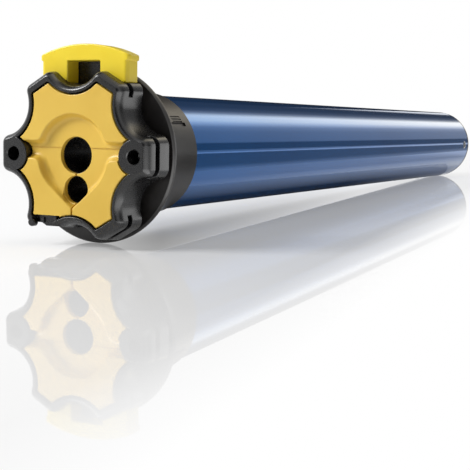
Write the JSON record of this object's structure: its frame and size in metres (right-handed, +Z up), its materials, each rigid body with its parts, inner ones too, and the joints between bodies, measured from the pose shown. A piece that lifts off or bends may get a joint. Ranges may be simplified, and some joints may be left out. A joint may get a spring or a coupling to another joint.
{
  "type": "tubular roller blind motor",
  "caption": "Tubular roller blind motor: star-shaped fixed head with lift-off limit cap, turning crown, long lacquered steel tube and flatted output shaft.",
  "frame": {"origin": "middle of the line between the two fixing screws, on the face of their bosses", "axes": "+X along the tube towards the output shaft, +Z up towards the limit cap"},
  "size_m": [0.4762, 0.0646, 0.0715],
  "materials": {
    "black_plastic": "glass-filled nylon, moulded, satin",
    "yellow_cover": "golden yellow plastic, moulded, satin",
    "lemon_cap": "lemon yellow plastic, moulded, slightly translucent",
    "crown_plastic": "dark grey plastic, moulded, fine grain",
    "blue_lacquer": "gloss blue lacquer on steel tube",
    "limit_acetal": "natural acetal, moulded",
    "switch_plastic": "black phenolic",
    "bright_steel": "machined steel",
    "dark_steel": "sintered or phosphated steel",
    "laminations": "stacked electrical steel",
    "aluminium": "die-cast or drawn aluminium",
    "bronze": "turned bronze or brass",
    "copper_winding": "enamelled copper wire",
    "brake_lining": "pressed friction lining"
  },
  "bodies": {
    "fixed": {"head_housing": "black_plastic", "face_cover": "yellow_cover", "cable_socket": "black_plastic", "socket_contacts": "bronze", "up_button_spring": "bright_steel", "down_button_spring": "bright_steel", "motor_tube": "blue_lacquer", "tube_rivets": "bright_steel", "plug_pins": "dark_steel", "limit_frame": "limit_acetal", "limit_axle": "bright_steel", "up_switch": "switch_plastic", "down_switch": "switch_plastic", "capacitor": "aluminium", "capacitor_rings": "limit_acetal", "rear_bell": "aluminium", "rear_bearing": "bronze", "stator_core": "laminations", "stator_winding": "copper_winding", "front_bell": "aluminium", "front_bearing": "bronze", "brake_lining": "brake_lining", "brake_plate": "aluminium", "gearbox_housing": "dark_steel", "output_bush": "bronze", "end_cap": "black_plastic"},
    "limit_cap": {"limit_cap": "lemon_cap"},
    "up_button": {"up_button": "black_plastic"},
    "down_button": {"down_button": "black_plastic"},
    "crown": {"crown": "crown_plastic"},
    "limit_pinion": {"limit_pinion": "limit_acetal"},
    "up_wheel_a": {"up_wheel_a": "limit_acetal"},
    "up_wheel_b": {"up_wheel_b": "limit_acetal"},
    "down_wheel_a": {"down_wheel_a": "limit_acetal"},
    "down_wheel_b": {"down_wheel_b": "limit_acetal"},
    "rotor": {"rotor_core": "laminations", "rotor_shaft": "bright_steel", "sun_gear": "bright_steel", "brake_spring": "bright_steel"},
    "brake_disc": {"brake_disc": "dark_steel"},
    "carrier_1": {"carrier_1": "dark_steel", "planet_pins_1": "bright_steel"},
    "planet_1a": {"planet_1a": "bright_steel"},
    "planet_1b": {"planet_1b": "bright_steel"},
    "planet_1c": {"planet_1c": "bright_steel"},
    "carrier_2": {"carrier_2": "dark_steel", "planet_pins_2": "bright_steel"},
    "planet_2a": {"planet_2a": "bright_steel"},
    "planet_2b": {"planet_2b": "bright_steel"},
    "planet_2c": {"planet_2c": "bright_steel"},
    "output": {"output_carrier": "bright_steel", "planet_pins_3": "bright_steel", "retaining_ring": "dark_steel"},
    "planet_3a": {"planet_3a": "bright_steel"},
    "planet_3b": {"planet_3b": "bright_steel"},
    "planet_3c": {"planet_3c": "bright_steel"}
  },
  "joints": [
    {"name": "cap_lift", "type": "slide", "parent": "fixed", "child": "limit_cap", "axis": [0, 0, 1], "range_m": [0, 0.03]},
    {"name": "up_button_press", "type": "slide", "parent": "fixed", "child": "up_button", "axis": [0, 0, -1], "range_m": [0, 0.0025], "stiffness_N_per_m": 600, "springref_m": -0.002, "deforming": ["up_button_spring"]},
    {"name": "down_button_press", "type": "slide", "parent": "fixed", "child": "down_button", "axis": [0, 0, -1], "range_m": [0, 0.0025], "stiffness_N_per_m": 600, "springref_m": -0.002, "deforming": ["down_button_spring"]},
    {"name": "crown_spin", "type": "hinge", "parent": "fixed", "child": "crown", "pos_m": [0.033, 0, 0], "axis": [1, 0, 0], "continuous": true},
    {"name": "limit_pinion_spin", "type": "hinge", "parent": "fixed", "child": "limit_pinion", "pos_m": [0.033, 0, 0.0147], "axis": [1, 0, 0], "continuous": true},
    {"name": "up_wheel_a_spin", "type": "hinge", "parent": "fixed", "child": "up_wheel_a", "pos_m": [0.03, 0, 0.00095], "axis": [1, 0, 0], "continuous": true},
    {"name": "up_wheel_b_spin", "type": "hinge", "parent": "fixed", "child": "up_wheel_b", "pos_m": [0.034, 0, 0.00095], "axis": [1, 0, 0], "continuous": true},
    {"name": "down_wheel_a_spin", "type": "hinge", "parent": "fixed", "child": "down_wheel_a", "pos_m": [0.04, 0, 0.00095], "axis": [1, 0, 0], "continuous": true},
    {"name": "down_wheel_b_spin", "type": "hinge", "parent": "fixed", "child": "down_wheel_b", "pos_m": [0.044, 0, 0.00095], "axis": [1, 0, 0], "continuous": true},
    {"name": "rotor_spin", "type": "hinge", "parent": "fixed", "child": "rotor", "pos_m": [0.24, 0, 0], "axis": [1, 0, 0], "continuous": true},
    {"name": "brake_release", "type": "slide", "parent": "rotor", "child": "brake_disc", "axis": [-1, 0, 0], "range_m": [0, 0.0006], "stiffness_N_per_m": 1500, "springref_m": -0.002, "deforming": ["brake_spring"]},
    {"name": "carrier_1_spin", "type": "hinge", "parent": "fixed", "child": "carrier_1", "pos_m": [0.358, 0, 0], "axis": [1, 0, 0], "continuous": true},
    {"name": "planet_1a_spin", "type": "hinge", "parent": "carrier_1", "child": "planet_1a", "pos_m": [0.358, 0.01155, 0], "axis": [1, 0, 0], "continuous": true},
    {"name": "planet_1b_spin", "type": "hinge", "parent": "carrier_1", "child": "planet_1b", "pos_m": [0.358, -0.00577, 0.01], "axis": [1, 0, 0], "continuous": true},
    {"name": "planet_1c_spin", "type": "hinge", "parent": "carrier_1", "child": "planet_1c", "pos_m": [0.358, -0.00577, -0.01], "axis": [1, 0, 0], "continuous": true},
    {"name": "carrier_2_spin", "type": "hinge", "parent": "fixed", "child": "carrier_2", "pos_m": [0.377, 0, 0], "axis": [1, 0, 0], "continuous": true},
    {"name": "planet_2a_spin", "type": "hinge", "parent": "carrier_2", "child": "planet_2a", "pos_m": [0.377, 0.01155, 0], "axis": [1, 0, 0], "continuous": true},
    {"name": "planet_2b_spin", "type": "hinge", "parent": "carrier_2", "child": "planet_2b", "pos_m": [0.377, -0.00577, 0.01], "axis": [1, 0, 0], "continuous": true},
    {"name": "planet_2c_spin", "type": "hinge", "parent": "carrier_2", "child": "planet_2c", "pos_m": [0.377, -0.00577, -0.01], "axis": [1, 0, 0], "continuous": true},
    {"name": "output_spin", "type": "hinge", "parent": "fixed", "child": "output", "pos_m": [0.402, 0, 0], "axis": [1, 0, 0], "continuous": true},
    {"name": "planet_3a_spin", "type": "hinge", "parent": "output", "child": "planet_3a", "pos_m": [0.402, 0.01155, 0], "axis": [1, 0, 0], "continuous": true},
    {"name": "planet_3b_spin", "type": "hinge", "parent": "output", "child": "planet_3b", "pos_m": [0.402, -0.00577, 0.01], "axis": [1, 0, 0], "continuous": true},
    {"name": "planet_3c_spin", "type": "hinge", "parent": "output", "child": "planet_3c", "pos_m": [0.402, -0.00577, -0.01], "axis": [1, 0, 0], "continuous": true}
  ],
  "couplings": [
    {"joint": "limit_pinion_spin", "follows": "crown_spin", "ratio": 4.5},
    {"joint": "up_wheel_a_spin", "follows": "crown_spin", "ratio": -1.0227},
    {"joint": "up_wheel_b_spin", "follows": "crown_spin", "ratio": -1},
    {"joint": "down_wheel_a_spin", "follows": "crown_spin", "ratio": -1.0227},
    {"joint": "down_wheel_b_spin", "follows": "crown_spin", "ratio": -1},
    {"joint": "carrier_1_spin", "follows": "rotor_spin", "ratio": 0.18182},
    {"joint": "planet_1a_spin", "follows": "rotor_spin", "ratio": -0.46753},
    {"joint": "planet_1b_spin", "follows": "rotor_spin", "ratio": -0.46753},
    {"joint": "planet_1c_spin", "follows": "rotor_spin", "ratio": -0.46753},
    {"joint": "carrier_2_spin", "follows": "rotor_spin", "ratio": 0.033058},
    {"joint": "planet_2a_spin", "follows": "rotor_spin", "ratio": -0.085006},
    {"joint": "planet_2b_spin", "follows": "rotor_spin", "ratio": -0.085006},
    {"joint": "planet_2c_spin", "follows": "rotor_spin", "ratio": -0.085006},
    {"joint": "output_spin", "follows": "rotor_spin", "ratio": 0.0060105},
    {"joint": "planet_3a_spin", "follows": "rotor_spin", "ratio": -0.015456},
    {"joint": "planet_3b_spin", "follows": "rotor_spin", "ratio": -0.015456},
    {"joint": "planet_3c_spin", "follows": "rotor_spin", "ratio": -0.015456}
  ]
}
